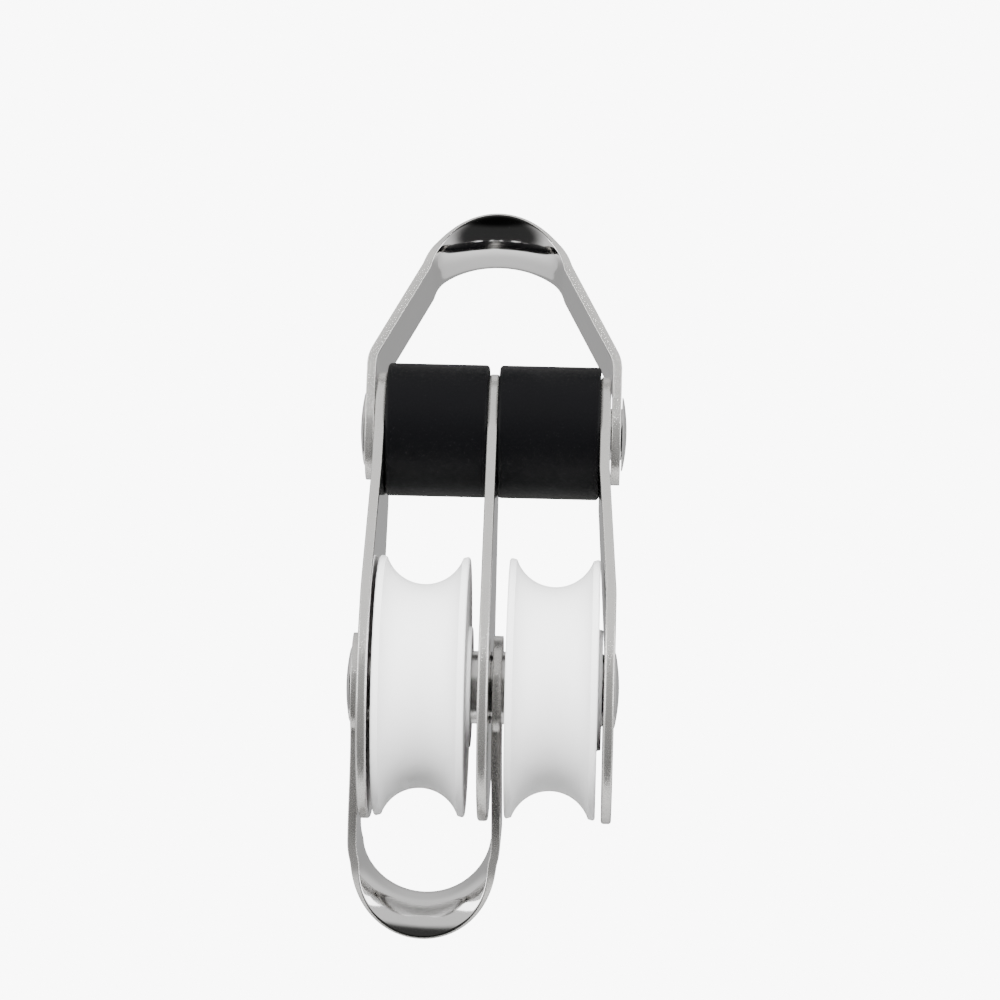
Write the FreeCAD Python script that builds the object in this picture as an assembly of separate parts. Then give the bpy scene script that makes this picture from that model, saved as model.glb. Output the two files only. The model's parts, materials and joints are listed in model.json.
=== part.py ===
import FreeCAD, Part
import math
import os

# Double sheave block with a head loop and a becket loop.
# X runs along both pins, Z is up, -Y is the front.
# The origin is where a shackle or hook bears inside the head loop.

# ---- driving sizes, mm ----
EYE_REACH = 17.7          # bearing point of the head loop down to the head pin
LINE_GAP = 6.8            # open height for the line, spacer down to the sheave

PIN_DIA = 5.0             # both riveted pins
RIVET_HEAD_DIA = 7.2
RIVET_HEAD_HEIGHT = 0.5
RIVET_RIM = 0.18          # upright edge of a rivet head under its dome

CHEEK_THICK = 1.0
CHEEK_HEAD_RADIUS = 5.6
CHEEK_COVER = 0.3         # the cheeks stand this far outside the sheaves' rims
HEAD_PINCH = 0.4          # the bays are this much narrower at the head pin than at the left sheave
BEND_BELOW_LUG = 0.6      # the cheeks start to spread this far below the head lugs
BEND_ABOVE_AXLE = 6.8     # and run flat again from here down

SPACER_DIA = 13.0
SPACER_ROUND = 0.35

SHEAVE_DIA = 25.0
SHEAVE_WIDTH = 8.7
GROOVE_DEPTH = 2.7
GROOVE_RADIUS = 3.9
RIM_ROUND = 0.25
HUB_DIA = 11.6            # low boss on one side of each sheave
HUB_RISE = 0.4
BUSH_DIA = 7.0            # distance tube that the sheave turns on

STRAP_THICK = 0.9
LUG_DIA = 10.0
HEAD_CROWN_WIDTH = 9.6
HEAD_CROWN_HALF_ARC = 27.0    # degrees of the crest to each side of its middle
SHOULDER_RADIUS = 3.6     # middle of the strap, from the crest into each leg
KNEE_RADIUS = 3.5         # middle of the strap, at the bend above each lug
KNEE_ABOVE_LUG = 0.1      # the legs stay upright this far past their round lugs
HEAD_LIP = 2.6            # how far the two edges of the crown flare away from the eye
BECKET_OPENING = 8.2      # cheek edge down to the bearing point of the becket
BECKET_BOW = 0.15         # each becket leg bows out this far before the round end
BECKET_LEG_WIDTH = 7.0
BECKET_CROWN_WIDTH = 8.4
BECKET_LIP = 2.5
BECKET_FLARE_SHARE = 0.83 # the flare fades out at this share of the round end's half
BECKET_SWING = 28.0       # degrees the becket lies back from hanging straight

# ---- fits ----
RIVET_FIT = 0.05          # radial, plates and tubes on a riveted pin
RUNNING_FIT = 0.05        # radial, sheaves and becket on the distance tubes
SIDE_GAP = 0.1            # between a lug and the cheek or rivet head beside it
BECKET_SIDE_GAP = 0.2     # inner becket lug beside the centre cheek
LEFT_OUTER_PLAY = 0.35    # left sheave beside the left cheek
LEFT_INNER_PLAY = 1.25    # left sheave beside the centre cheek
RIGHT_OUTER_PLAY = 0.55   # right sheave beside the right cheek
RIGHT_INNER_PLAY = 0.45   # right sheave beside the inner becket lug

# ---- places that follow from the sizes ----
PIN_SPACING = SPACER_DIA / 2 + LINE_GAP + SHEAVE_DIA / 2
PIN_Z = -EYE_REACH
AXLE_Z = PIN_Z - PIN_SPACING
CHEEK_DISC_RADIUS = SHEAVE_DIA / 2 + CHEEK_COVER
LEFT_BAY = LEFT_OUTER_PLAY + SHEAVE_WIDTH + LEFT_INNER_PLAY
RIGHT_BAY = BECKET_SIDE_GAP + STRAP_THICK + RIGHT_INNER_PLAY + SHEAVE_WIDTH + RIGHT_OUTER_PLAY
HEAD_BAY = LEFT_BAY - HEAD_PINCH
HALF_CHEEK = CHEEK_THICK / 2
HALF_STRAP = STRAP_THICK / 2
LEFT_HEAD_FACE = -(HALF_CHEEK + HEAD_BAY)
RIGHT_HEAD_FACE = HALF_CHEEK + HEAD_BAY
LEFT_AXLE_FACE = -(HALF_CHEEK + LEFT_BAY)
RIGHT_AXLE_FACE = HALF_CHEEK + RIGHT_BAY
LEFT_SHEAVE_X = LEFT_AXLE_FACE + LEFT_OUTER_PLAY + SHEAVE_WIDTH / 2
RIGHT_SHEAVE_X = RIGHT_AXLE_FACE - RIGHT_OUTER_PLAY - SHEAVE_WIDTH / 2
HEAD_LUG_X = RIGHT_HEAD_FACE + CHEEK_THICK + SIDE_GAP + HALF_STRAP
HEAD_CROWN_RADIUS = HEAD_LUG_X    # middle of the strap, over the crest
BECKET_OUT_X = LEFT_AXLE_FACE - CHEEK_THICK - SIDE_GAP - HALF_STRAP
BECKET_IN_X = HALF_CHEEK + BECKET_SIDE_GAP + HALF_STRAP
BECKET_SPREAD = (BECKET_IN_X - BECKET_OUT_X) / 2
BECKET_CROWN_RADIUS = BECKET_SPREAD + BECKET_BOW
BECKET_REACH = CHEEK_DISC_RADIUS + BECKET_OPENING

X_AXIS = FreeCAD.Vector(1, 0, 0)


def vec(x, y, z):
    return FreeCAD.Vector(x, y, z)


def rod(x0, x1, z, radius):
    return Part.makeCylinder(radius, x1 - x0, vec(x0, 0, z), X_AXIS)


def write(node, shape):
    shape.exportStep("parts/" + node + ".step")


def cheek(head_x, axle_x):
    """Pear-shaped side plate, gently bent so that it spreads toward the axle."""
    tilt = math.asin((CHEEK_DISC_RADIUS - CHEEK_HEAD_RADIUS) / PIN_SPACING)
    side_y = math.cos(tilt)
    side_z = math.sin(tilt)
    r1 = CHEEK_HEAD_RADIUS
    r2 = CHEEK_DISC_RADIUS
    a = vec(0, r1 * side_y, PIN_Z + r1 * side_z)
    b = vec(0, -r1 * side_y, PIN_Z + r1 * side_z)
    c = vec(0, -r2 * side_y, AXLE_Z + r2 * side_z)
    d = vec(0, r2 * side_y, AXLE_Z + r2 * side_z)
    edges = [
        Part.Arc(a, vec(0, 0, PIN_Z + r1), b).toShape(),
        Part.makeLine(b, c),
        Part.Arc(c, vec(0, 0, AXLE_Z - r2), d).toShape(),
        Part.makeLine(d, a),
    ]
    left = min(head_x, axle_x) - CHEEK_THICK
    right = max(head_x, axle_x) + CHEEK_THICK
    outline = Part.Face(Part.Wire(edges))
    outline.translate(vec(left, 0, 0))
    blank = outline.extrude(vec(right - left, 0, 0))
    top = PIN_Z + 2 * CHEEK_HEAD_RADIUS
    low = AXLE_Z - 2 * CHEEK_DISC_RADIUS
    stations = [
        (head_x, top),
        (head_x, PIN_Z - LUG_DIA / 2 - BEND_BELOW_LUG),
        (axle_x, AXLE_Z + BEND_ABOVE_AXLE),
        (axle_x, low),
    ]
    half_depth = 2 * CHEEK_DISC_RADIUS
    near = [vec(x - HALF_CHEEK, -half_depth, z) for x, z in stations]
    far = [vec(x + HALF_CHEEK, -half_depth, z) for x, z in reversed(stations)]
    profile = Part.Face(Part.makePolygon(near + far + near[:1]))
    plate = blank.common(profile.extrude(vec(0, 2 * half_depth, 0)))
    hole = PIN_DIA / 2 + RIVET_FIT
    plate = plate.cut(rod(left, right, PIN_Z, hole))
    return plate.cut(rod(left, right, AXLE_Z, hole))


def rivet(x0, x1, z):
    """Pin with a low domed head outside each end."""
    shank = PIN_DIA / 2
    head = RIVET_HEAD_DIA / 2
    rise = RIVET_HEAD_HEIGHT - RIVET_RIM
    ball = (rise ** 2 + head ** 2) / (2 * rise)
    half_way = math.asin(head / ball) / 2

    def at(x, r):
        return vec(x, 0, z + r)

    def dome(rim_x, way):
        drop = ball * (1 - math.cos(half_way))
        shoulder = at(rim_x + way * (rise - drop), ball * math.sin(half_way))
        return Part.Arc(at(rim_x, head), shoulder, at(rim_x + way * rise, 0)).toShape()

    left = x0 - RIVET_RIM
    right = x1 + RIVET_RIM
    section = Part.Face(Part.Wire([
        dome(left, -1),
        Part.makeLine(at(left, head), at(x0, head)),
        Part.makeLine(at(x0, head), at(x0, shank)),
        Part.makeLine(at(x0, shank), at(x1, shank)),
        Part.makeLine(at(x1, shank), at(x1, head)),
        Part.makeLine(at(x1, head), at(right, head)),
        dome(right, 1),
        Part.makeLine(at(right + rise, 0), at(left - rise, 0)),
    ]))
    return section.revolve(vec(0, 0, z), X_AXIS, 360)


def spacer(x0, x1):
    """Moulded roller between two cheeks, around the head pin."""
    body = rod(x0, x1, PIN_Z, SPACER_DIA / 2)
    rims = [e for e in body.Edges if e.Length > SPACER_DIA]
    body = body.makeFillet(SPACER_ROUND, [e for e in rims if e.Curve.TypeId == "Part::GeomCircle"])
    return body.cut(rod(x0, x1, PIN_Z, PIN_DIA / 2 + RIVET_FIT))


def bush(x0, x1):
    """Tube that sets the width of one bay and carries its sheave."""
    tube = rod(x0, x1, AXLE_Z, BUSH_DIA / 2)
    return tube.cut(rod(x0, x1, AXLE_Z, PIN_DIA / 2 + RIVET_FIT))


def sheave(middle):
    """Grooved wheel with a low hub boss on its right side."""
    rim = SHEAVE_DIA / 2
    half = SHEAVE_WIDTH / 2
    bore = BUSH_DIA / 2 + RUNNING_FIT
    root = rim - GROOVE_DEPTH
    groove_half = math.sqrt(GROOVE_RADIUS ** 2 - (GROOVE_RADIUS - GROOVE_DEPTH) ** 2)

    def at(x, r):
        return vec(middle + x, 0, AXLE_Z + r)

    section = Part.Face(Part.Wire([
        Part.makeLine(at(-half, bore), at(-half, rim)),
        Part.makeLine(at(-half, rim), at(-groove_half, rim)),
        Part.Arc(at(-groove_half, rim), at(0, root), at(groove_half, rim)).toShape(),
        Part.makeLine(at(groove_half, rim), at(half, rim)),
        Part.makeLine(at(half, rim), at(half, HUB_DIA / 2)),
        Part.makeLine(at(half, HUB_DIA / 2), at(half + HUB_RISE, HUB_DIA / 2)),
        Part.makeLine(at(half + HUB_RISE, HUB_DIA / 2), at(half + HUB_RISE, bore)),
        Part.makeLine(at(half + HUB_RISE, bore), at(-half, bore)),
    ]))
    wheel = section.revolve(vec(0, 0, AXLE_Z), X_AXIS, 360)
    corners = []
    for edge in wheel.Edges:
        if edge.Curve.TypeId != "Part::GeomCircle":
            continue
        if abs(edge.Curve.Radius - rim) < RIM_ROUND:
            corners.append(edge)
    return wheel.makeFillet(RIM_ROUND, corners)


def smooth(u):
    u = min(1.0, max(0.0, u))
    return u * u * (3 - 2 * u)


def strap_section(point, along, width, flare):
    """Cross-section of a strap whose two edges flare by the given amount away from the eye.

    The point is the middle of the strap, in the XZ plane. The path runs up the right leg,
    so the eye is on its left.
    """
    out = vec(along.z, 0, -along.x)
    half = width / 2

    def at(y, n):
        return point + vec(0, y, 0) + out * n

    def curve(n, sense):
        # nearly flat over the middle, with both edges rolled away from the eye
        end = sense * half
        high = n + flare
        low = n - flare
        curved = Part.BezierCurve()
        curved.setPoles([at(-end, high), at(-end / 2, low), at(0, high), at(end / 2, low), at(end, high)])
        return curved.toShape()

    return Part.Wire([
        curve(-HALF_STRAP, 1),
        Part.makeLine(at(half, flare - HALF_STRAP), at(half, flare + HALF_STRAP)),
        curve(HALF_STRAP, -1),
        Part.makeLine(at(-half, flare + HALF_STRAP), at(-half, flare - HALF_STRAP)),
    ])


def bent_strap(path, leg_width, crown_width, lip, flare_share):
    """Bent end of a loop, given its right half from the leg to the crest.

    Each entry of the path is a point and the direction of travel there. The flare fades out
    at the given share of the half's length, measured from the crest.
    """
    marks = [0.0]
    for k in range(1, len(path)):
        marks.append(marks[-1] + (path[k][0] - path[k - 1][0]).Length)
    total = marks[-1]
    flare_run = flare_share * total
    stations = []
    for (point, along), mark in zip(path, marks):
        width = leg_width + (crown_width - leg_width) * smooth(mark / total)
        u = min(1.0, (total - mark) / flare_run)
        stations.append((point, along, width, lip * (1 - u * u) ** 1.5))
    for point, along, width, flare in reversed(stations[:-1]):
        stations.append((vec(-point.x, 0, point.z), vec(along.x, 0, -along.z), width, flare))
    return Part.makeLoft([strap_section(*station) for station in stations], True, False)


def arc_points(centre_x, centre_z, radius, start, stop, count):
    """Points on an arc in the XZ plane after its first one, with the direction of travel."""
    pts = []
    for k in range(1, count + 1):
        a = math.radians(start + (stop - start) * k / count)
        along = vec(-math.sin(a), 0, math.cos(a))
        pts.append((vec(centre_x + radius * math.cos(a), 0, centre_z + radius * math.sin(a)), along))
    return pts


def head_loop():
    """Strap loop with a lug outside each outer cheek."""
    crown_z = HALF_STRAP - HEAD_CROWN_RADIUS
    crest_start = 90 - HEAD_CROWN_HALF_ARC
    gap = HEAD_CROWN_RADIUS - SHOULDER_RADIUS
    shoulder_x = gap * math.cos(math.radians(crest_start))
    shoulder_z = crown_z + gap * math.sin(math.radians(crest_start))
    knee_x = HEAD_LUG_X - KNEE_RADIUS
    knee_z = PIN_Z + LUG_DIA / 2 + KNEE_ABOVE_LUG
    # each leg is the straight line that touches both its bends
    between = math.hypot(knee_x - shoulder_x, shoulder_z - knee_z)
    lean = math.degrees(
        math.atan2(knee_x - shoulder_x, shoulder_z - knee_z)
        - math.asin((SHOULDER_RADIUS - KNEE_RADIUS) / between)
    )
    lug = lug_plate(HEAD_LUG_X, PIN_Z, knee_z, LUG_DIA, PIN_DIA / 2 + RIVET_FIT)
    knee_end = arc_points(knee_x, knee_z, KNEE_RADIUS, 0, lean, 1)[0]
    leg_end = arc_points(shoulder_x, shoulder_z, SHOULDER_RADIUS, 0, lean, 1)[0]
    knee_foot = vec(HEAD_LUG_X, 0, knee_z)
    knee_face = Part.Face(strap_section(knee_foot, vec(0, 0, 1), LUG_DIA, 0))
    knee = knee_face.revolve(vec(knee_x, 0, knee_z), vec(0, -1, 0), lean)
    leg = Part.makeLoft([
        strap_section(knee_end[0], knee_end[1], LUG_DIA, 0),
        strap_section(leg_end[0], leg_end[1], HEAD_CROWN_WIDTH, 0),
    ], True, True)
    path = [leg_end]
    path += arc_points(shoulder_x, shoulder_z, SHOULDER_RADIUS, lean, crest_start, 5)
    path += arc_points(0, crown_z, HEAD_CROWN_RADIUS, crest_start, 90, 6)
    crest = bent_strap(path, HEAD_CROWN_WIDTH, HEAD_CROWN_WIDTH, HEAD_LIP, 1.0)
    side = lug.fuse([knee, leg])
    return crest.fuse([side, side.mirror(vec(0, 0, 0), X_AXIS)]).removeSplitter()


def lug_plate(x, eye_z, end_z, width, hole):
    """Flat end of a strap: a round lug about the pin that runs on to end_z."""
    disc = rod(x - HALF_STRAP, x + HALF_STRAP, eye_z, LUG_DIA / 2)
    bar = Part.makeBox(STRAP_THICK, width, end_z - eye_z, vec(x - HALF_STRAP, -width / 2, eye_z))
    return disc.fuse(bar).removeSplitter().cut(rod(x - STRAP_THICK, x + STRAP_THICK, eye_z, hole))


def becket():
    """Small loop under the left sheave, from outside the left cheek to beside the centre cheek."""
    middle = (BECKET_OUT_X + BECKET_IN_X) / 2
    start_z = LUG_DIA / 2
    crown_z = BECKET_REACH + HALF_STRAP - BECKET_CROWN_RADIUS
    up = vec(0, 0, 1)
    tangent = vec(BECKET_CROWN_RADIUS, 0, crown_z)
    leg = Part.makeLoft([
        strap_section(vec(BECKET_SPREAD, 0, start_z), up, BECKET_LEG_WIDTH, 0),
        strap_section(tangent, up, BECKET_LEG_WIDTH, 0),
    ], True, True)
    path = [(tangent, up)] + arc_points(0, crown_z, BECKET_CROWN_RADIUS, 0, 90, 10)
    crest = bent_strap(path, BECKET_LEG_WIDTH, BECKET_CROWN_WIDTH, BECKET_LIP, BECKET_FLARE_SHARE)
    outer = lug_plate(BECKET_SPREAD, 0, start_z, BECKET_LEG_WIDTH, PIN_DIA / 2 + RIVET_FIT)
    inner = lug_plate(-BECKET_SPREAD, 0, start_z, BECKET_LEG_WIDTH, BUSH_DIA / 2 + RUNNING_FIT)
    loop = crest.fuse([leg, leg.mirror(vec(0, 0, 0), X_AXIS), outer, inner]).removeSplitter()
    # drawn upright about its own pin, then turned over and swung
    loop.rotate(vec(0, 0, 0), vec(0, 1, 0), 180)
    loop.translate(vec(middle, 0, AXLE_Z))
    loop.rotate(vec(0, 0, AXLE_Z), X_AXIS, BECKET_SWING)
    return loop


os.makedirs("parts", exist_ok=True)
write("cheek_left", cheek(LEFT_HEAD_FACE - HALF_CHEEK, LEFT_AXLE_FACE - HALF_CHEEK))
write("cheek_centre", cheek(0, 0))
write("cheek_right", cheek(RIGHT_HEAD_FACE + HALF_CHEEK, RIGHT_AXLE_FACE + HALF_CHEEK))
write("spacer_left", spacer(LEFT_HEAD_FACE, -HALF_CHEEK))
write("spacer_right", spacer(HALF_CHEEK, RIGHT_HEAD_FACE))
write("bush_left", bush(LEFT_AXLE_FACE, -HALF_CHEEK))
write("bush_right", bush(HALF_CHEEK, RIGHT_AXLE_FACE))
write("sheave_left", sheave(LEFT_SHEAVE_X))
write("sheave_right", sheave(RIGHT_SHEAVE_X))
lug_outer = HEAD_LUG_X + HALF_STRAP + SIDE_GAP
write("head_pin", rivet(-lug_outer, lug_outer, PIN_Z))
axle_left = BECKET_OUT_X - HALF_STRAP - SIDE_GAP
write("axle_rivet", rivet(axle_left, RIGHT_AXLE_FACE + CHEEK_THICK, AXLE_Z))
write("head_loop", head_loop())
write("becket", becket())
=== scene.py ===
import json
import math

import bpy
import numpy as np
from bpy.props import FloatProperty, FloatVectorProperty, IntProperty, PointerProperty
from mathutils import Matrix, Vector


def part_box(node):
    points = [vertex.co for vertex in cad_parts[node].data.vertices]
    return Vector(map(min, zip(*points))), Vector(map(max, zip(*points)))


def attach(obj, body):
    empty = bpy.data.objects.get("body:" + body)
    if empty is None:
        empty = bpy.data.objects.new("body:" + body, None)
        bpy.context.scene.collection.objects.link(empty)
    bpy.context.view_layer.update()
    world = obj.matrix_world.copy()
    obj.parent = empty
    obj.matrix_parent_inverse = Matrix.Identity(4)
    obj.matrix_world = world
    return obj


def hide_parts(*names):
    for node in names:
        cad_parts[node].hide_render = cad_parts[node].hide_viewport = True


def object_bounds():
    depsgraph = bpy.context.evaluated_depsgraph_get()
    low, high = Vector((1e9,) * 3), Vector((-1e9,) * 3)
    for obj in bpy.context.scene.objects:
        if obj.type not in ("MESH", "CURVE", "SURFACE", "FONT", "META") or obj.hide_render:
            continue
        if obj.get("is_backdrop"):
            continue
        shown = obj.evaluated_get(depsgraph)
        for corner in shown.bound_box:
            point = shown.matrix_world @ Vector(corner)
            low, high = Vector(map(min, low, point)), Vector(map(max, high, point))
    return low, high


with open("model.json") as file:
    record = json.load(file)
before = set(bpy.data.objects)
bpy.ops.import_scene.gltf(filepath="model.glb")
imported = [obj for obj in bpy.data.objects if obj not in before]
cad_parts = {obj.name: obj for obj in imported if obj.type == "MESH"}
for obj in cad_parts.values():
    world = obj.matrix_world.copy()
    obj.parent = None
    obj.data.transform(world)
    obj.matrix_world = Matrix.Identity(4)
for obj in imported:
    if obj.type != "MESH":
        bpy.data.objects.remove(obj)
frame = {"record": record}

bl_info = {
    "name": "Double sheave block",
    "version": (1, 0, 0),
    "blender": (4, 5, 0),
    "location": "View3D > Sidebar > Block",
    "description": "Builds the visual model of a double sheave block around its CAD frame",
    "category": "Object",
}

MM = 0.001
CUT_FROM, CUT_TO = 0.6, 0.9     # radians round a rounded corner where the cut edge's finish starts and ends
HINGE = {j["name"]: j for j in frame["record"]["behaviour"]["joints"]}
PIN_Z = HINGE["head_swing"]["pos_m"][2]
AXLE_Z = HINGE["left_sheave_turn"]["pos_m"][2]


# ---------------------------------------------------------------- shape helpers


def make_mesh(name, rows, closed_u, closed_v, mats, mat_index=None, sharp=30.0):
    """One closed surface from a grid of points, rows x columns x 3.

    closed_u joins the last column to the first, closed_v the last row to the first.
    A row whose points are all the same becomes one vertex, which is how a pole closes.
    """
    nv, nu = rows.shape[:2]
    single = [bool(np.ptp(r, axis=0).max() < 1e-9) for r in rows]
    index = np.zeros((nv, nu), int)
    co = []
    for k in range(nv):
        if single[k]:
            index[k] = len(co)
            co.append(rows[k, 0])
        else:
            index[k] = np.arange(nu) + len(co)
            co.extend(rows[k])
    faces = []
    kinds = []
    for k in range(nv if closed_v else nv - 1):
        a, b = index[k], index[(k + 1) % nv]
        for i in range(nu if closed_u else nu - 1):
            j = (i + 1) % nu
            quad = [a[i], a[j], b[j], b[i]]
            face = [q for n, q in enumerate(quad) if q != quad[n - 1]]
            if len(face) > 2:
                faces.append([int(q) for q in face])
                kinds.append(0 if mat_index is None else int(mat_index(k, i)))
    mesh = bpy.data.meshes.new(name)
    mesh.from_pydata(np.array(co, float).tolist(), [], faces)
    for m in mats:
        mesh.materials.append(m)
    mesh.polygons.foreach_set("material_index", kinds)
    mesh.update()
    turn_outwards(mesh)
    mesh.shade_smooth()
    mesh.set_sharp_from_angle(angle=math.radians(sharp))
    obj = bpy.data.objects.new(name, mesh)
    bpy.context.scene.collection.objects.link(obj)
    return obj


def turn_outwards(mesh):
    """Flip every face if the closed surface's signed volume is negative."""
    mesh.calc_loop_triangles()
    co = np.zeros(len(mesh.vertices) * 3)
    mesh.vertices.foreach_get("co", co)
    co = co.reshape(-1, 3)
    tri = np.zeros(len(mesh.loop_triangles) * 3, int)
    mesh.loop_triangles.foreach_get("vertices", tri)
    a, b, c = (co[tri.reshape(-1, 3)[:, k]] for k in range(3))
    if (a * np.cross(b, c)).sum() < 0:
        mesh.flip_normals()
        mesh.update()


def rounded_box(half_w, half_t, radius, across):
    """Closed outline of a flat strap's section, as (y, n) points, with a mark on its cut edges.

    Each corner is a quarter circle, and the flat stops short of it by the easing.
    """
    r = radius
    turn = np.radians(np.linspace(0, 90, 5))
    ease = min(2.5 * r, half_w * 0.5)
    flat_end = half_w - r - ease
    flat = np.linspace(-flat_end, flat_end, across)
    pts = []
    edge = []
    for y in flat:
        pts.append((y, half_t))
        edge.append(0)
    for a in turn:
        pts.append((half_w - r + r * math.sin(a), half_t - r + r * math.cos(a)))
        edge.append(int(a > CUT_FROM))
    for a in turn:
        pts.append((half_w - r + r * math.cos(a), -(half_t - r) - r * math.sin(a)))
        edge.append(int(a < CUT_TO))
    for y in flat[::-1]:
        pts.append((y, -half_t))
        edge.append(0)
    for a in turn:
        pts.append((-(half_w - r) - r * math.sin(a), -(half_t - r) - r * math.cos(a)))
        edge.append(int(a > CUT_FROM))
    for a in turn:
        pts.append((-(half_w - r) - r * math.cos(a), half_t - r + r * math.sin(a)))
        edge.append(int(a < CUT_TO))
    return np.array(pts), edge


def strap(name, path, along, half_width, flare, thick, radius, across, mats):
    """Strap swept along a path in the XZ plane, from one lug over the crest to the other.

    At each station the section is a thin bar whose long side runs along Y. It is nearly flat
    over the middle and its edges roll outward, by flare times the fourth power of y over the
    half width. The outward side is to the right of the direction of travel.
    """
    n = len(path)
    out = np.stack([along[:, 2], np.zeros(n), -along[:, 0]], 1)
    rows = []
    for k in range(n):
        w = half_width[k]
        r = min(radius, w * 0.45)
        section, edge = rounded_box(max(w, 1e-6), thick / 2, r, across)
        y = section[:, 0]
        bow = flare[k] * (y / max(w, 1e-6)) ** 4
        slope = 4 * flare[k] * y ** 3 / max(w, 1e-6) ** 4
        tilt = np.arctan(slope)
        # the thickness stays square to the bowed middle surface
        nrm = section[:, 1]
        yy = y - nrm * np.sin(tilt)
        oo = bow + nrm * np.cos(tilt)
        rows.append(path[k] + yy[:, None] * np.array([0, 1, 0]) + oo[:, None] * out[k])
    rows = np.array(rows)
    first = np.repeat(rows[:1].mean(1, keepdims=True), rows.shape[1], 1)
    last = np.repeat(rows[-1:].mean(1, keepdims=True), rows.shape[1], 1)
    rows = np.concatenate([first, rows, last])
    return make_mesh(name, rows, True, False, mats, lambda k, i: edge[i] and edge[(i + 1) % len(edge)], 40)


def lathe(name, x, r, axis_z, steps, mats, closed, mat_index=None, sharp=30.0):
    """Surface of revolution about a line along X at height axis_z.

    x and r are the profile's stations. closed joins its last station to its first, for a
    ring with a bore; otherwise the two ends lie on the axis and close as poles.
    """
    a = np.linspace(0, 2 * math.pi, steps, endpoint=False)
    x, r = np.asarray(x, float), np.asarray(r, float)
    rows = np.stack(
        [
            np.repeat(x[:, None], steps, 1),
            r[:, None] * np.cos(a)[None, :],
            axis_z + r[:, None] * np.sin(a)[None, :],
        ],
        2,
    )
    return make_mesh(name, rows, True, closed, mats, mat_index, sharp)


def corner(x, r, from_deg, to_deg, radius, steps=5):
    """Rounded corner of a profile: points on a circle about (x, r), angles from +X toward +r."""
    a = np.radians(np.linspace(from_deg, to_deg, steps))
    return list(zip(x + radius * np.cos(a), r + radius * np.sin(a)))


def plate(name, x_of_z, thick, radius, r1, z1, r2, z2, mats):
    """Pear-shaped plate between a small circle above and a large circle below, with eased edges.

    The outline is the hull of the two circles. Rings run from the line between their centres
    out to the outline on one face, round the cut edge, and back in on the other face.
    x_of_z gives the plate's middle at each height, so that its bends follow the pins' spacing.
    """
    tilt = math.asin((r2 - r1) / (z1 - z2))
    top = np.linspace(tilt, math.pi - tilt, 25)
    low = np.linspace(math.pi - tilt, 2 * math.pi + tilt, 61)
    run = np.linspace(0, 1, 41)[1:-1]
    head = np.stack([r1 * np.cos(top), z1 + r1 * np.sin(top)], 1)
    foot = np.stack([r2 * np.cos(low), z2 + r2 * np.sin(low)], 1)
    left = head[-1] + (foot[0] - head[-1]) * run[:, None]
    right = foot[-1] + (head[0] - foot[-1]) * run[:, None]
    outline = np.concatenate([head, left, foot, right])
    hn = np.stack([np.cos(top), np.sin(top)], 1)
    fn = np.stack([np.cos(low), np.sin(low)], 1)
    ln = np.repeat(hn[-1:], len(run), 0)
    rn = np.repeat(hn[:1], len(run), 0)
    normal = np.concatenate([hn, ln, fn, rn])
    spine_z = np.concatenate(
        [np.full(len(head), z1), z1 + (z2 - z1) * run, np.full(len(foot), z2), z2 + (z1 - z2) * run]
    )
    spine = np.stack([np.zeros(len(spine_z)), spine_z], 1)
    half = thick / 2
    rows = []
    kinds = []
    inset = outline - normal * radius * 3
    for t in (0.0, 0.25, 0.5, 0.75, 1.0):
        rows.append((spine + (inset - spine) * t, half))
        kinds.append(0)
    for a in np.radians(np.linspace(0, 90, 5)):
        rows.append((outline - normal * radius * (1 - math.sin(a)), half - radius * (1 - math.cos(a))))
        kinds.append(int(a > CUT_FROM))
    for a in np.radians(np.linspace(0, 90, 5)):
        rows.append((outline - normal * radius * (1 - math.cos(a)), -(half - radius * (1 - math.sin(a)))))
        kinds.append(int(a < CUT_TO))
    for t in (1.0, 0.75, 0.5, 0.25, 0.0):
        rows.append((spine + (inset - spine) * t, -half))
        kinds.append(0)
    grid = np.array([
        np.stack([x_of_z(yz[:, 1]) + dx, yz[:, 0], yz[:, 1]], 1)
        for yz, dx in rows
    ])
    obj = make_mesh(name, grid, True, False, mats, lambda k, i: kinds[k], 35)
    close_spine(obj)
    return obj


def close_spine(obj):
    """Weld the doubled points along the middle line of each face of a plate."""
    import bmesh

    bm = bmesh.new()
    bm.from_mesh(obj.data)
    bmesh.ops.remove_doubles(bm, verts=bm.verts, dist=1e-7)
    bmesh.ops.dissolve_degenerate(bm, dist=1e-7, edges=bm.edges)
    bm.to_mesh(obj.data)
    bm.free()
    obj.data.update()
    turn_outwards(obj.data)
    obj.data.set_sharp_from_angle(angle=math.radians(35))


def finish_piece(obj, body, slot, *nodes):
    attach(obj, body)
    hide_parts(*nodes)
    return obj


# ---------------------------------------------------------------- finishes


def new_group(name, inputs, outputs):
    group = bpy.data.node_groups.new(name, "ShaderNodeTree")
    for label, kind, default in inputs:
        socket = group.interface.new_socket(name=label, in_out="INPUT", socket_type=kind)
        socket.default_value = default
    for label, kind in outputs:
        group.interface.new_socket(name=label, in_out="OUTPUT", socket_type=kind)
    return group, group.nodes.new("NodeGroupInput"), group.nodes.new("NodeGroupOutput")


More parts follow.
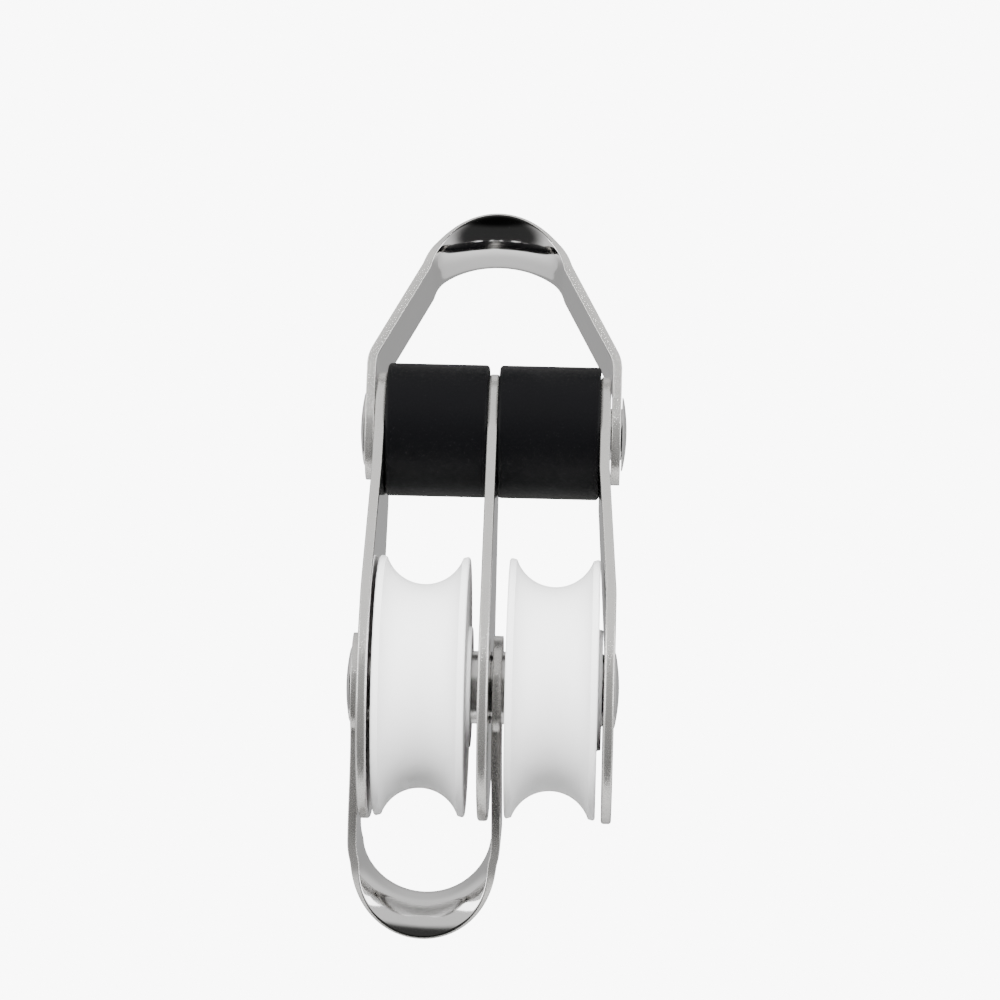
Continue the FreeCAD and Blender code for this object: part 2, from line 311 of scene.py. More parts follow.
def marks_group():
    """Handling marks: cloudy smears and fine hairlines that vary the roughness and the colour."""
    group, gin, gout = new_group(
        "handling marks",
        [
            ("Color", "NodeSocketColor", (0.8, 0.8, 0.8, 1)),
            ("Darker", "NodeSocketColor", (0.6, 0.6, 0.6, 1)),
            ("Roughness", "NodeSocketFloat", 0.2),
            ("Spread", "NodeSocketFloat", 0.1),
            ("Scale", "NodeSocketFloat", 120.0),
            ("Stretch", "NodeSocketVector", (1, 1, 1)),
        ],
        [("Color", "NodeSocketColor"), ("Roughness", "NodeSocketFloat"), ("Height", "NodeSocketFloat")],
    )
    nodes, links = group.nodes, group.links
    coord = nodes.new("ShaderNodeTexCoord")
    stretch = nodes.new("ShaderNodeVectorMath")
    stretch.operation = "MULTIPLY"
    links.new(coord.outputs["Object"], stretch.inputs[0])
    links.new(gin.outputs["Stretch"], stretch.inputs[1])
    cloud = nodes.new("ShaderNodeTexNoise")
    cloud.inputs["Detail"].default_value = 4
    links.new(stretch.outputs[0], cloud.inputs["Vector"])
    links.new(gin.outputs["Scale"], cloud.inputs["Scale"])
    fine = nodes.new("ShaderNodeTexNoise")
    fine.inputs["Detail"].default_value = 6
    fine.inputs["Roughness"].default_value = 0.7
    links.new(stretch.outputs[0], fine.inputs["Vector"])
    times = nodes.new("ShaderNodeMath")
    times.operation = "MULTIPLY"
    times.inputs[1].default_value = 14.0
    links.new(gin.outputs["Scale"], times.inputs[0])
    links.new(times.outputs[0], fine.inputs["Scale"])
    both = nodes.new("ShaderNodeMath")
    both.operation = "MULTIPLY_ADD"
    both.inputs[1].default_value = 0.5
    links.new(fine.outputs["Fac"], both.inputs[0])
    half = nodes.new("ShaderNodeMath")
    half.operation = "MULTIPLY"
    half.inputs[1].default_value = 0.5
    links.new(cloud.outputs["Fac"], half.inputs[0])
    links.new(half.outputs[0], both.inputs[2])
    centred = nodes.new("ShaderNodeMath")
    centred.operation = "SUBTRACT"
    centred.inputs[1].default_value = 0.5
    links.new(both.outputs[0], centred.inputs[0])
    rough = nodes.new("ShaderNodeMath")
    rough.operation = "MULTIPLY_ADD"
    links.new(centred.outputs[0], rough.inputs[0])
    links.new(gin.outputs["Spread"], rough.inputs[1])
    links.new(gin.outputs["Roughness"], rough.inputs[2])
    mix = nodes.new("ShaderNodeMix")
    mix.data_type = "RGBA"
    links.new(both.outputs[0], mix.inputs[0])
    links.new(gin.outputs["Color"], mix.inputs[6])
    links.new(gin.outputs["Darker"], mix.inputs[7])
    links.new(mix.outputs[2], gout.inputs["Color"])
    links.new(rough.outputs[0], gout.inputs["Roughness"])
    links.new(fine.outputs["Fac"], gout.inputs["Height"])
    return group


def finish_of(name, group, color, darker, roughness, spread, scale, stretch, metallic, bump, bump_dist):
    """A Principled material whose colour, roughness and bump come from the marks group."""
    mat = bpy.data.materials.new(name)
    mat.use_nodes = True
    nodes, links = mat.node_tree.nodes, mat.node_tree.links
    shader = nodes["Principled BSDF"]
    marks = nodes.new("ShaderNodeGroup")
    marks.node_tree = group
    marks.inputs["Color"].default_value = (*color, 1)
    marks.inputs["Darker"].default_value = (*darker, 1)
    marks.inputs["Roughness"].default_value = roughness
    marks.inputs["Spread"].default_value = spread
    marks.inputs["Scale"].default_value = scale
    marks.inputs["Stretch"].default_value = stretch
    links.new(marks.outputs["Color"], shader.inputs["Base Color"])
    links.new(marks.outputs["Roughness"], shader.inputs["Roughness"])
    lift = nodes.new("ShaderNodeBump")
    lift.inputs["Strength"].default_value = bump
    lift.inputs["Distance"].default_value = bump_dist
    links.new(marks.outputs["Height"], lift.inputs["Height"])
    links.new(lift.outputs["Normal"], shader.inputs["Normal"])
    shader.inputs["Metallic"].default_value = metallic
    return mat


def finishes():
    """Make the five finishes once and keep them by name."""
    if "cut steel edge" in bpy.data.materials:
        return {m.name: m for m in bpy.data.materials}
    p = bpy.context.scene.block_finish
    g = marks_group()
    steel = tuple(p.steel_color)
    dull = tuple(c * 0.86 for c in steel)
    made = [
        finish_of("polished steel", g, steel, dull, p.polish, 0.10, 160, (1, 1, 1), 1.0, 0.06, 0.00002),
        finish_of("cut steel edge", g, tuple(p.edge_color), tuple(c * 0.8 for c in p.edge_color),
                  p.edge_roughness, 0.25, 500, (1, 1, 1), 0.85, 0.15, 0.00005),
        finish_of("turned steel", g, steel, dull, 0.24, 0.2, 300, (6, 1, 1), 1.0, 0.15, 0.00003),
        finish_of("white sheave plastic", g, tuple(p.sheave_color), tuple(c * 0.97 for c in p.sheave_color),
                  p.sheave_roughness, 0.12, 240, (3, 1, 1), 0.0, 0.08, 0.00003),
        finish_of("black spacer plastic", g, tuple(p.spacer_color), tuple(c * 0.6 for c in p.spacer_color),
                  p.spacer_roughness, 0.25, 220, (1, 1, 1), 0.0, 0.35, 0.00008),
    ]
    sheave = made[3].node_tree.nodes["Principled BSDF"]
    sheave.inputs["Subsurface Weight"].default_value = 0.25
    sheave.inputs["Subsurface Radius"].default_value = (0.0012, 0.0012, 0.0012)
    sheave.inputs["Subsurface Scale"].default_value = 1.0
    made[4].node_tree.nodes["Principled BSDF"].inputs["Specular IOR Level"].default_value = 0.10
    return {m.name: m for m in made}


# ---------------------------------------------------------------- settings


class BlockStraps(bpy.types.PropertyGroup):
    thick: FloatProperty(name="Strap thickness", description="Thickness of both loops", default=0.9 * MM,
                         unit="LENGTH", precision=5)
    edge_round: FloatProperty(name="Edge radius", description="Easing of the cut edges", default=0.13 * MM,
                              unit="LENGTH", precision=5)
    side_gap: FloatProperty(name="Side gap", description="Lug to the rivet head beside it", default=0.1 * MM,
                            unit="LENGTH", precision=5)
    crest_radius: FloatProperty(name="Head crest radius", description="Middle of the strap at the crest",
                                default=11.95 * MM, unit="LENGTH", precision=5)
    crest_span: FloatProperty(name="Head crest half arc", description="Crest to each side of its middle",
                              default=math.radians(27), subtype="ANGLE")
    shoulder_radius: FloatProperty(name="Shoulder radius", description="From the crest into each leg",
                                   default=3.6 * MM, unit="LENGTH", precision=5)
    knee_above: FloatProperty(name="Knee height", description="Straight past the round lug", default=0.1 * MM,
                              unit="LENGTH", precision=5)
    knee_radius: FloatProperty(name="Knee radius", description="Bend above each lug", default=3.5 * MM,
                               unit="LENGTH", precision=5)
    crest_width: FloatProperty(name="Head crest width", description="Strap width at the crest",
                               default=9.6 * MM, unit="LENGTH", precision=5)
    lip: FloatProperty(name="Head lip", description="How far the crest's edges flare", default=2.8 * MM,
                       unit="LENGTH", precision=5)
    flare_run: FloatProperty(name="Head flare length", description="Where the flare fades out",
                             default=7.8 * MM, unit="LENGTH", precision=5)
    becket_gap: FloatProperty(name="Becket gap", description="Inner lug to the centre cheek",
                              default=0.2 * MM, unit="LENGTH", precision=5)
    becket_radius: FloatProperty(name="Becket radius", description="Middle of the strap at the bottom",
                                 default=6.9 * MM, unit="LENGTH", precision=5)
    becket_reach: FloatProperty(name="Becket reach", description="Axle to the becket's bearing point",
                                default=21.0 * MM, unit="LENGTH", precision=5)
    becket_leg: FloatProperty(name="Becket leg width", description="Strap width of the legs",
                              default=7.0 * MM, unit="LENGTH", precision=5)
    becket_crest: FloatProperty(name="Becket crest width", description="Strap width at the bottom",
                                default=8.4 * MM, unit="LENGTH", precision=5)
    becket_lip: FloatProperty(name="Becket lip", description="How far its edges flare", default=2.55 * MM,
                              unit="LENGTH", precision=5)
    becket_run: FloatProperty(name="Becket flare length", description="Where the flare fades out",
                              default=9.0 * MM, unit="LENGTH", precision=5)
    becket_swing: FloatProperty(name="Becket swing", description="How far it lies back at rest",
                                default=math.radians(28), subtype="ANGLE")


class BlockPlates(bpy.types.PropertyGroup):
    thick: FloatProperty(name="Cheek thickness", description="Thickness of each cheek", default=1.0 * MM,
                         unit="LENGTH", precision=5)
    edge_round: FloatProperty(name="Edge radius", description="Easing of the cut edges", default=0.27 * MM,
                              unit="LENGTH", precision=5)
    head_radius: FloatProperty(name="Head radius", description="Outline about the head pin", default=5.6 * MM,
                               unit="LENGTH", precision=5)
    bend_top: FloatProperty(name="Upper bend", description="Below the head pin", default=5.6 * MM,
                            unit="LENGTH", precision=5)
    bend_low: FloatProperty(name="Lower bend", description="Below the head pin", default=19.0 * MM,
                            unit="LENGTH", precision=5)


class BlockTurned(bpy.types.PropertyGroup):
    groove_depth: FloatProperty(name="Groove depth", description="Rim down to the root", default=2.7 * MM,
                                unit="LENGTH", precision=5)
    groove_radius: FloatProperty(name="Groove radius", description="Section of the groove", default=3.9 * MM,
                                 unit="LENGTH", precision=5)
    rim_round: FloatProperty(name="Rim radius", description="Rounding of each rim", default=0.25 * MM,
                             unit="LENGTH", precision=5)
    hub_radius: FloatProperty(name="Hub radius", description="Low boss on one side of each sheave",
                              default=5.8 * MM, unit="LENGTH", precision=5)
    hub_rise: FloatProperty(name="Hub rise", description="How far the boss stands out", default=0.4 * MM,
                            unit="LENGTH", precision=5)
    bush_radius: FloatProperty(name="Tube radius", description="Outside of the distance tubes",
                               default=3.5 * MM, unit="LENGTH", precision=5)
    pin_radius: FloatProperty(name="Pin radius", description="Shank of both pins", default=2.5 * MM,
                              unit="LENGTH", precision=5)
    head_height: FloatProperty(name="Rivet head height", description="Height of each rivet head",
                               default=0.5 * MM, unit="LENGTH", precision=5)
    fit: FloatProperty(name="Fit", description="Radial clearance of every bore", default=0.05 * MM,
                       unit="LENGTH", precision=5)
    ease: FloatProperty(name="Sheave easing", description="Easing of the bore and the boss",
                        default=0.15 * MM, unit="LENGTH", precision=5)
    spacer_round: FloatProperty(name="Spacer edge radius", description="Rounding of each end",
                                default=0.35 * MM, unit="LENGTH", precision=5)
    tube_ease: FloatProperty(name="Tube chamfer", description="Chamfer of each end", default=0.1 * MM,
                             unit="LENGTH", precision=5)
    steps: IntProperty(name="Steps", description="Points round each turned piece", default=160, min=32)


class BlockFinish(bpy.types.PropertyGroup):
    steel_color: FloatVectorProperty(name="Steel", description="Polished steel", subtype="COLOR",
                                     default=(0.80, 0.79, 0.78))
    edge_color: FloatVectorProperty(name="Cut edges", description="Satin cut edges", subtype="COLOR",
                                    default=(0.60, 0.59, 0.57))
    sheave_color: FloatVectorProperty(name="Sheaves", description="White plastic", subtype="COLOR",
                                      default=(0.90, 0.90, 0.90))
    spacer_color: FloatVectorProperty(name="Spacers", description="Black plastic", subtype="COLOR",
                                      default=(0.0022, 0.0022, 0.0026))
    polish: FloatProperty(name="Polish", description="Roughness of the polished faces", default=0.10)
    edge_roughness: FloatProperty(name="Edge roughness", description="Roughness of the cut edges",
                                  default=0.27)
    sheave_roughness: FloatProperty(name="Sheave roughness", description="Roughness of the sheaves",
                                    default=0.38)
    spacer_roughness: FloatProperty(name="Spacer roughness", description="Roughness of the spacers",
                                    default=0.5)


class BlockStage(bpy.types.PropertyGroup):
    key: FloatProperty(name="Key light", description="Watts of the front softbox", default=5.2)
    side: FloatProperty(name="Side lights", description="Watts of each side softbox", default=0.8)
    world: FloatProperty(name="Surround", description="Brightness of the pale surround", default=1.0)
    backdrop: FloatProperty(name="Backdrop", description="Brightness behind the object", default=9.0)
    distance: FloatProperty(name="Camera distance", description="In front of the origin", default=0.38204,
                            unit="LENGTH", precision=5)
    aside: FloatProperty(name="Camera aside", description="Right of the origin", default=0.010014,
                         unit="LENGTH", precision=6)
    below: FloatProperty(name="Camera below", description="Below the head pin", default=0.1215469,
                         unit="LENGTH", precision=6)
    pan: FloatProperty(name="Pan", description="Turn of the camera to its left", default=0.0241, precision=4)
    pitch: FloatProperty(name="Pitch", description="Upward tilt of the camera", default=0.2913, precision=4)
    roll: FloatProperty(name="Roll", description="Turn about the line of sight", default=-0.0305, precision=4)
    lens: FloatProperty(name="Lens", description="Focal length in mm on a 36 mm wide sensor", default=147.5)


# ---------------------------------------------------------------- pieces


class BLOCK_OT_straps(bpy.types.Operator):
    """Build the head loop and the becket"""

    bl_idname = "block.straps"
    bl_label = "Straps"

    def execute(self, context):
        p = context.scene.block_straps
        mats = finishes()
        pair = [mats["polished steel"], mats["cut steel edge"]]
        lug_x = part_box("head_pin")[1].x - context.scene.block_turned.head_height - p.side_gap - p.thick / 2
        lug_r = PIN_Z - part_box("head_loop")[0].z
        half = self.head_half(lug_x, lug_r, p)
        obj = self.sweep("head_loop_strap", half, lug_r, p.crest_width / 2, p.lip, p.flare_run, p, pair)
        finish_piece(obj, "head", "polished_steel", "head_loop")

        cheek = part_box("cheek_left")[0].x
        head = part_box("axle_rivet")[0].x + context.scene.block_turned.head_height
        outer = (cheek + head) / 2
        right_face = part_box("cheek_centre")[1].x
        inner = right_face + p.becket_gap + p.thick / 2
        middle = (outer + inner) / 2
        spread = (inner - outer) / 2
        half = self.becket_half(spread, lug_r, p)
        obj = self.sweep("becket_strap", half, lug_r, p.becket_crest / 2, p.becket_lip, p.becket_run, p, pair,
                         p.becket_leg / 2)
        turn = Matrix.Translation((middle, 0, AXLE_Z)) @ Matrix.Rotation(p.becket_swing, 4, "X") \
            @ Matrix.Rotation(math.pi, 4, "Y")
        obj.data.transform(turn)
        finish_piece(obj, "becket_loop", "polished_steel", "becket")
        return {"FINISHED"}

    def head_half(self, lug_x, lug_r, p):
        """Right half of the head loop: lug, knee, leaning leg, shoulder and half the crest.

        Each leg is the straight line that touches both its bends.
        """
        crown_z = -p.crest_radius + p.thick / 2
        start = math.pi / 2 - p.crest_span
        gap = p.crest_radius - p.shoulder_radius
        sx, sz = gap * math.cos(start), crown_z + gap * math.sin(start)
        knee_z = PIN_Z + lug_r + p.knee_above
        in_x, in_z = lug_x - p.knee_radius - sx, sz - knee_z
        apart = math.hypot(in_x, in_z)
        lean = math.atan2(in_x, in_z) - math.asin((p.shoulder_radius - p.knee_radius) / apart)
        tx, tz = sx + p.shoulder_radius * math.cos(lean), sz + p.shoulder_radius * math.sin(lean)
        pts = [(lug_x, z, 0.0) for z in self.lug_stations(PIN_Z, lug_r)]
        pts += [(lug_x, z, 0.0) for z in np.linspace(PIN_Z, knee_z, 9)[1:]]
        for a in np.linspace(0, lean, 9)[1:]:
            pts.append((lug_x - p.knee_radius * (1 - math.cos(a)), knee_z + p.knee_radius * math.sin(a), a))
        kx, kz = pts[-1][0], pts[-1][1]
        for t in np.linspace(0, 1, 13)[1:]:
            pts.append((kx + (tx - kx) * t, kz + (tz - kz) * t, lean))
        for a in np.linspace(lean, start, 15)[1:]:
            pts.append((sx + p.shoulder_radius * math.cos(a), sz + p.shoulder_radius * math.sin(a), a))
        for a in np.linspace(start, math.pi / 2, 25)[1:]:
            pts.append((p.crest_radius * math.cos(a), crown_z + p.crest_radius * math.sin(a), a))
        return np.array(pts), PIN_Z

    def becket_half(self, spread, lug_r, p):
        """Half of the becket drawn upright about its pin: lug, slightly bowed leg, half of the round end."""
        crown = p.becket_reach + p.thick / 2 - p.becket_radius
        bow = p.becket_radius - spread
        pts = [(spread, z, 0.0) for z in self.lug_stations(0.0, lug_r)]
        pts += [(spread, z, 0.0) for z in np.linspace(0, lug_r, 9)[1:]]
        for t in np.linspace(0, 1, 17)[1:]:
            pts.append((spread + bow * t * t * (3 - 2 * t), lug_r + (crown - lug_r) * t, 0.0))
        for a in np.linspace(0, math.pi / 2, 41)[1:]:
            pts.append((p.becket_radius * math.cos(a), crown + p.becket_radius * math.sin(a), a))
        return np.array(pts), 0.0

    def lug_stations(self, eye_z, lug_r):
        """Heights below the pin, closer together toward the round end of the lug."""
        a = np.radians(np.linspace(88, 0, 23))
        return list(eye_z - lug_r * np.sin(a))

    def sweep(self, name, half, lug_r, crest_half, lip, run, p, mats, leg_half=None):
        """Mirror the half path, give each station its width and flare, and sweep the strap.

        The width follows the round lug below the pin, eases to the leg's width, and then to
        the crest's. The flare is lip times (1 - u squared) to the power 1.5, where u is the
        distance from the crest over the flare's length.
        """
        pts, eye_z = half
        xz = pts[:, :2]
        step = np.hypot(*np.diff(xz, axis=0).T)
        mark = np.concatenate([[0], np.cumsum(step)])
        total = mark[-1]
        below = np.clip(eye_z - xz[:, 1], 0, None)
        above = xz[:, 1] - eye_z
        round_end = np.sqrt(np.clip(lug_r ** 2 - np.where(pts[:, 2] == 0, above, 0) ** 2, 0, None))
        leg = lug_r if leg_half is None else leg_half
        ease = np.clip((mark - 2 * lug_r) / (total - 2 * lug_r), 0, 1)
        ease = ease * ease * (3 - 2 * ease)
        width = leg + (crest_half - leg) * ease
        in_lug = (pts[:, 2] == 0) & (above < lug_r)
        width = np.where(below > 0, round_end, np.where(in_lug, np.maximum(round_end, leg), width))
        u = np.clip((total - mark) / run, 0, 1)
        flare = lip * (1 - u * u) ** 1.5
        along = np.stack([-np.sin(pts[:, 2]), np.zeros(len(pts)), np.cos(pts[:, 2])], 1)
        path = np.stack([xz[:, 0], np.zeros(len(pts)), xz[:, 1]], 1)
        back = slice(-2, None, -1)
        path2 = path[back] * np.array([-1, 1, 1])
        along2 = along[back] * np.array([1, 1, -1])
        path = np.concatenate([path, path2])
        along = np.concatenate([along, along2])
        width = np.concatenate([width, width[back]])
        flare = np.concatenate([flare, flare[back]])
        return strap(name, path, along, width, flare, p.thick, p.edge_round, 25, mats)


class BLOCK_OT_cheeks(bpy.types.Operator):
    """Build the three cheek plates"""

    bl_idname = "block.cheeks"
    bl_label = "Cheeks"

    def execute(self, context):
        p = context.scene.block_plates
        mats = finishes()
        pair = [mats["polished steel"], mats["cut steel edge"]]
        spacer_l, spacer_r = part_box("spacer_left"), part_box("spacer_right")
        bush_l, bush_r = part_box("bush_left"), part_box("bush_right")
        half = p.thick / 2
        places = {
            "cheek_left": (spacer_l[0].x - half, bush_l[0].x - half),
            "cheek_centre": (0.0, 0.0),
            "cheek_right": (spacer_r[1].x + half, bush_r[1].x + half),
        }
        for node, (head_x, axle_x) in places.items():
            disc = AXLE_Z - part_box(node)[0].z
            top, low = PIN_Z - p.bend_top, PIN_Z - p.bend_low

            def x_of_z(z, head_x=head_x, axle_x=axle_x):
                t = np.clip((top - z) / (top - low), 0, 1)
                return head_x + (axle_x - head_x) * t

            obj = plate(node + "_plate", x_of_z, p.thick, p.edge_round, p.head_radius, PIN_Z, disc, AXLE_Z,
                        pair)
            finish_piece(obj, "block", "polished_steel", node)
        return {"FINISHED"}


class BLOCK_OT_sheaves(bpy.types.Operator):
    """Build the two grooved sheaves"""

    bl_idname = "block.sheaves"
    bl_label = "Sheaves"

    def execute(self, context):
        p = context.scene.block_turned
        mats = finishes()
        for node, body in (("sheave_left", "left_sheave"), ("sheave_right", "right_sheave")):
            lo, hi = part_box(node)
            rim = hi.z - AXLE_Z
            x0, x1 = lo.x, hi.x - p.hub_rise
            mid, half = (x0 + x1) / 2, (x1 - x0) / 2
            bore = p.bush_radius + p.fit
            c = p.rim_round
            ease = p.ease
            # the groove is an arc of a circle whose centre lies outside the rim
            centre = rim - p.groove_depth + p.groove_radius
            lip_half = math.sqrt(p.groove_radius ** 2 - (centre - (rim - c * 0.55)) ** 2)
            a = np.linspace(-math.asin(lip_half / p.groove_radius), math.asin(lip_half / p.groove_radius), 49)
            groove = list(zip(mid + p.groove_radius * np.sin(a), centre - p.groove_radius * np.cos(a)))
            land = half - lip_half
            crest = [(mid - half + land * t, rim - c * 0.55 * t ** 2.5) for t in (0.55, 0.8)]
            mirror = [(2 * mid - x, r) for x, r in crest[::-1]]
            prof = [(x0, bore + ease), (x0, bore + 2 * ease), (x0, rim - 3 * c), (x0, rim - 2 * c)]
            prof += corner(x0 + c, rim - c, 180, 90, c, 7) + crest
            prof += groove + mirror + corner(x1 - c, rim - c, 90, 0, c, 7)
            prof += [(x1, rim - 2 * c), (x1, rim - 3 * c), (x1, p.hub_radius + ease)]
            prof += [(x1 + 0.3 * ease, p.hub_radius + 0.3 * ease), (x1 + ease, p.hub_radius)]
            prof += corner(hi.x - ease, p.hub_radius - ease, 90, 0, ease)
            prof += [(hi.x, bore + 2 * ease), (hi.x, bore + ease)]
            prof += [(hi.x - ease, bore), (mid, bore), (x0 + ease, bore)]
            x, r = zip(*prof)
            obj = lathe(node + "_wheel", x, r, AXLE_Z, p.steps, [mats["white sheave plastic"]], True)
            finish_piece(obj, body, "sheave_plastic", node)
        return {"FINISHED"}


class BLOCK_OT_spacers(bpy.types.Operator):
    """Build the two spacers on the head pin"""

    bl_idname = "block.spacers"
    bl_label = "Spacers"

    def execute(self, context):
        p = context.scene.block_turned
        mats = finishes()
        for node in ("spacer_left", "spacer_right"):
            lo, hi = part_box(node)
            rim = hi.z - PIN_Z
            c = p.spacer_round
            bore = p.pin_radius + p.fit
            prof = [(lo.x, bore), (lo.x, rim - 3 * c), (lo.x, rim - 1.5 * c)]
            prof += corner(lo.x + c, rim - c, 180, 90, c)
            prof += [(x, rim) for x in np.linspace(lo.x + 2 * c, hi.x - 2 * c, 9)]
            prof += corner(hi.x - c, rim - c, 90, 0, c)
            prof += [(hi.x, rim - 1.5 * c), (hi.x, rim - 3 * c), (hi.x, bore), ((lo.x + hi.x) / 2, bore)]
            x, r = zip(*prof)
            obj = lathe(node + "_roller", x, r, PIN_Z, p.steps, [mats["black spacer plastic"]], True)
            finish_piece(obj, "block", "spacer_plastic", node)
        return {"FINISHED"}


class BLOCK_OT_pins(bpy.types.Operator):
    """Build the two riveted pins and the two distance tubes"""

    bl_idname = "block.pins"
    bl_label = "Pins and tubes"

    def execute(self, context):
        p = context.scene.block_turned
        mats = finishes()
        for node, z in (("head_pin", PIN_Z), ("axle_rivet", AXLE_Z)):
            lo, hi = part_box(node)
            x0, x1 = lo.x, hi.x
            head = hi.z - z
            h = p.head_height
            # one profile, in shares of the head's height and radius: dome, small rounded rim, shank
            dome_drop, dome_reach = 0.64, 0.93
            dome = [(x0 + h * dome_drop * t ** 2, head * t * dome_reach) for t in np.linspace(0, 1, 13)]
            rim = [(x0 + h * 0.72, head * 0.97), (x0 + h * 0.84, head), (x0 + h, head)]
            left = dome + rim + [(x0 + h, p.pin_radius)]
            right = [(x0 + x1 - x, r) for x, r in left[::-1]]
            x, r = zip(*(left + right))
            obj = lathe(node + "_rivet", x, r, z, p.steps, [mats["turned steel"]], False)
            finish_piece(obj, "block", "satin_steel", node)
        for node in ("bush_left", "bush_right"):
            lo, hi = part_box(node)
            ro, ri = p.bush_radius, p.pin_radius + p.fit
            c = p.tube_ease
            prof = [(lo.x, ri), (lo.x, ro - c), (lo.x + c, ro), (hi.x - c, ro), (hi.x, ro - c), (hi.x, ri)]
            x, r = zip(*prof)
            obj = lathe(node + "_tube", x, r, AXLE_Z, p.steps // 2, [mats["turned steel"]], True)
            finish_piece(obj, "block", "satin_steel", node)
        return {"FINISHED"}


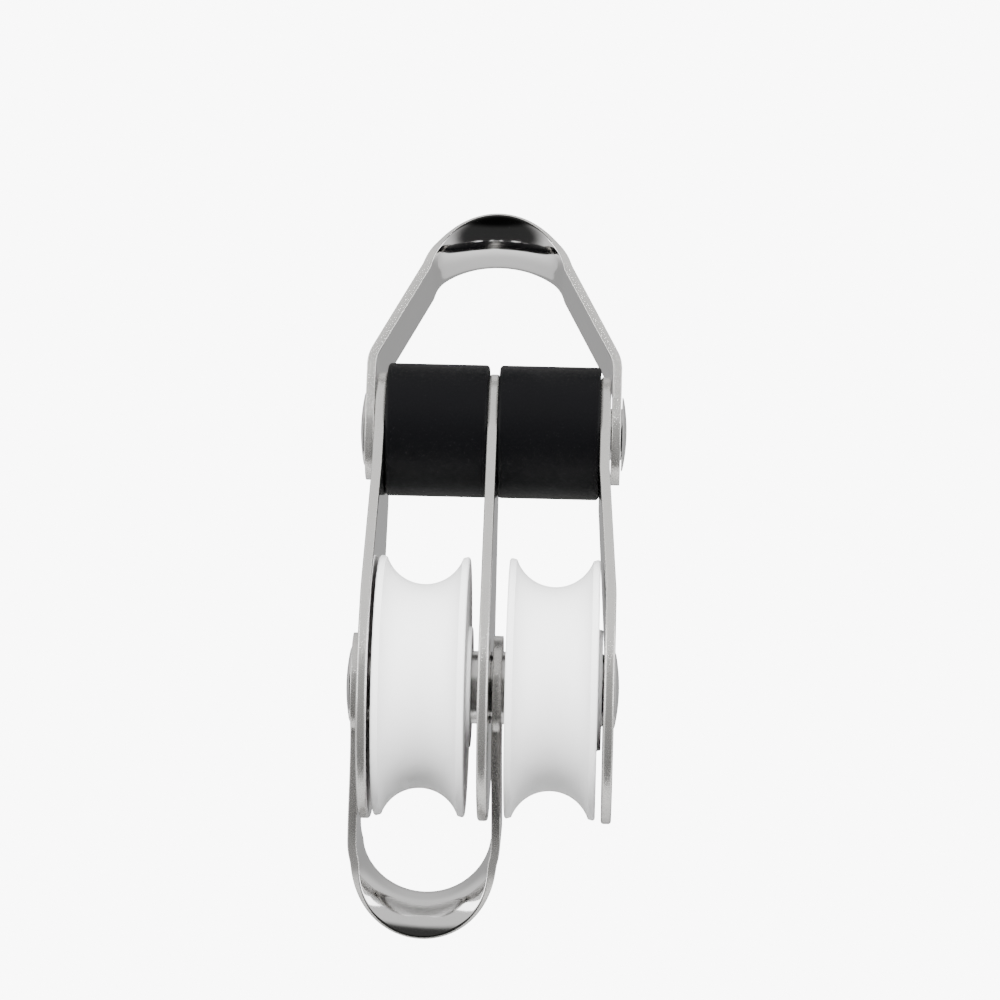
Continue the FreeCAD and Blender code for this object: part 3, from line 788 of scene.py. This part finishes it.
class BLOCK_OT_stage(bpy.types.Operator):
    """Set up the pale surround, the lights and the camera"""

    bl_idname = "block.stage"
    bl_label = "Stage"

    def execute(self, context):
        p = context.scene.block_stage
        scene = context.scene
        lo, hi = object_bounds()
        middle = (lo + hi) / 2
        size = (hi - lo).length

        mesh = bpy.data.meshes.new("floor")
        half, z = 8 * size, lo.z - 1.6 * size
        near, far = 0.3 * size, 2 * half
        corners = [(-half, near, z), (half, near, z), (half, far, z), (-half, far, z)]
        mesh.from_pydata(corners, [], [(0, 1, 2, 3)])
        floor = bpy.data.objects.new("floor", mesh)
        scene.collection.objects.link(floor)
        pale = bpy.data.materials.new("pale floor")
        pale.use_nodes = True
        pale.node_tree.nodes["Principled BSDF"].inputs["Base Color"].default_value = (0.85, 0.85, 0.85, 1)
        pale.node_tree.nodes["Principled BSDF"].inputs["Roughness"].default_value = 0.9
        mesh.materials.append(pale)
        floor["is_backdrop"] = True

        def softbox(name, place, width, height, watts, mirrored=True):
            light = bpy.data.lights.new(name, "AREA")
            light.shape = "RECTANGLE"
            light.size, light.size_y = width, height
            light.energy = watts
            obj = bpy.data.objects.new(name, light)
            obj.location = middle + Vector(place) * size
            obj.rotation_mode = "QUATERNION"
            obj.rotation_quaternion = (middle - obj.location).to_track_quat("-Z", "Y")
            obj.visible_glossy = mirrored
            scene.collection.objects.link(obj)

        softbox("front", (0.0, -4.4, 1.2), 2.2 * size, 1.2 * size, p.key, mirrored=False)
        softbox("left side", (-4.0, -2.2, 0.4), 1.6 * size, 4.5 * size, p.side)
        softbox("right side", (4.0, -2.2, 0.4), 1.6 * size, 4.5 * size, p.side)
        self.surround(scene, p)

        cam = bpy.data.cameras.new("camera")
        cam.sensor_width = 36.0
        cam.lens = p.lens
        obj = bpy.data.objects.new("camera", cam)
        scene.collection.objects.link(obj)
        turn = Matrix.Rotation(p.pan, 3, "Z") @ Matrix.Rotation(p.pitch, 3, "X")
        turn = turn @ Matrix.Rotation(p.roll, 3, "Y")
        right, away, up = turn.col[0], turn.col[1], turn.col[2]
        pose = Matrix((right, up, -away)).transposed().to_4x4()
        pose.translation = Vector((p.aside, -p.distance, PIN_Z - p.below))
        obj.matrix_world = pose
        cam.clip_start, cam.clip_end = 0.01, 20
        scene.camera = obj
        return {"FINISHED"}

    def surround(self, scene, p):
        """A pale room with a dark patch straight ahead and another low in front, before a white backdrop.

        What the steel mirrors depends on the direction alone: the pale value, half of it from
        behind, and near black within the two patches. The camera itself sees the backdrop.
        """
        world = bpy.data.worlds.new("surround")
        scene.world = world
        world.use_nodes = True
        nodes, links = world.node_tree.nodes, world.node_tree.links
        back = nodes["Background"]
        back.inputs["Color"].default_value = (1, 1, 1, 1)
        coord = nodes.new("ShaderNodeTexCoord")

        def toward(direction, start, start_value, stop, stop_value):
            dot = nodes.new("ShaderNodeVectorMath")
            dot.operation = "DOT_PRODUCT"
            dot.inputs[1].default_value = Vector(direction).normalized()
            links.new(coord.outputs["Generated"], dot.inputs[0])
            ramp = nodes.new("ShaderNodeMapRange")
            ramp.interpolation_type = "SMOOTHSTEP"
            for label, value in (("From Min", start), ("From Max", stop), ("To Min", start_value),
                                 ("To Max", stop_value)):
                ramp.inputs[label].default_value = value
            links.new(dot.outputs["Value"], ramp.inputs["Value"])
            return ramp.outputs["Result"]

        def combine(kind, a, b):
            node = nodes.new("ShaderNodeMath")
            node.operation = kind
            links.new(a, node.inputs[0])
            links.new(b, node.inputs[1])
            return node.outputs[0]

        room = toward((0.0, 1.0, 0.0), 0.5, p.world, 0.95, p.world * 0.45)
        ahead = toward((0.0, -0.97, -0.24), 0.82, 1.0, 0.91, 0.05)
        ground = toward((0.0, -0.45, -0.89), 0.55, 1.0, 0.85, 0.04)
        seen = nodes.new("ShaderNodeLightPath")
        pick = nodes.new("ShaderNodeMix")
        pick.data_type = "FLOAT"
        links.new(seen.outputs["Is Camera Ray"], pick.inputs[0])
        links.new(combine("MULTIPLY", room, combine("MULTIPLY", ahead, ground)), pick.inputs[2])
        pick.inputs[3].default_value = p.backdrop
        links.new(pick.outputs[0], back.inputs["Strength"])


class BLOCK_PT_panel(bpy.types.Panel):
    """Build steps of the block"""

    bl_idname = "BLOCK_PT_panel"
    bl_label = "Double sheave block"
    bl_space_type = "VIEW_3D"
    bl_region_type = "UI"
    bl_category = "Block"

    def draw(self, context):
        for op in OPERATORS:
            self.layout.operator(op.bl_idname)


OPERATORS = (BLOCK_OT_straps, BLOCK_OT_cheeks, BLOCK_OT_sheaves, BLOCK_OT_spacers, BLOCK_OT_pins,
             BLOCK_OT_stage)
SETTINGS = (
    ("block_straps", BlockStraps),
    ("block_plates", BlockPlates),
    ("block_turned", BlockTurned),
    ("block_finish", BlockFinish),
    ("block_stage", BlockStage),
)


def register():
    for _, group in SETTINGS:
        bpy.utils.register_class(group)
    for op in OPERATORS:
        bpy.utils.register_class(op)
    bpy.utils.register_class(BLOCK_PT_panel)
    for name, group in SETTINGS:
        setattr(bpy.types.Scene, name, PointerProperty(type=group))


def unregister():
    for name, _ in SETTINGS:
        delattr(bpy.types.Scene, name)
    bpy.utils.unregister_class(BLOCK_PT_panel)
    for op in reversed(OPERATORS):
        bpy.utils.unregister_class(op)
    for _, group in reversed(SETTINGS):
        bpy.utils.unregister_class(group)


def main():
    register()
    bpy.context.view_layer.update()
    for op in (bpy.ops.block.straps, bpy.ops.block.cheeks, bpy.ops.block.sheaves, bpy.ops.block.spacers,
               bpy.ops.block.pins, bpy.ops.block.stage):
        if op() != {"FINISHED"}:
            raise RuntimeError("a build step did not finish")


if __name__ == "__main__":
    main()
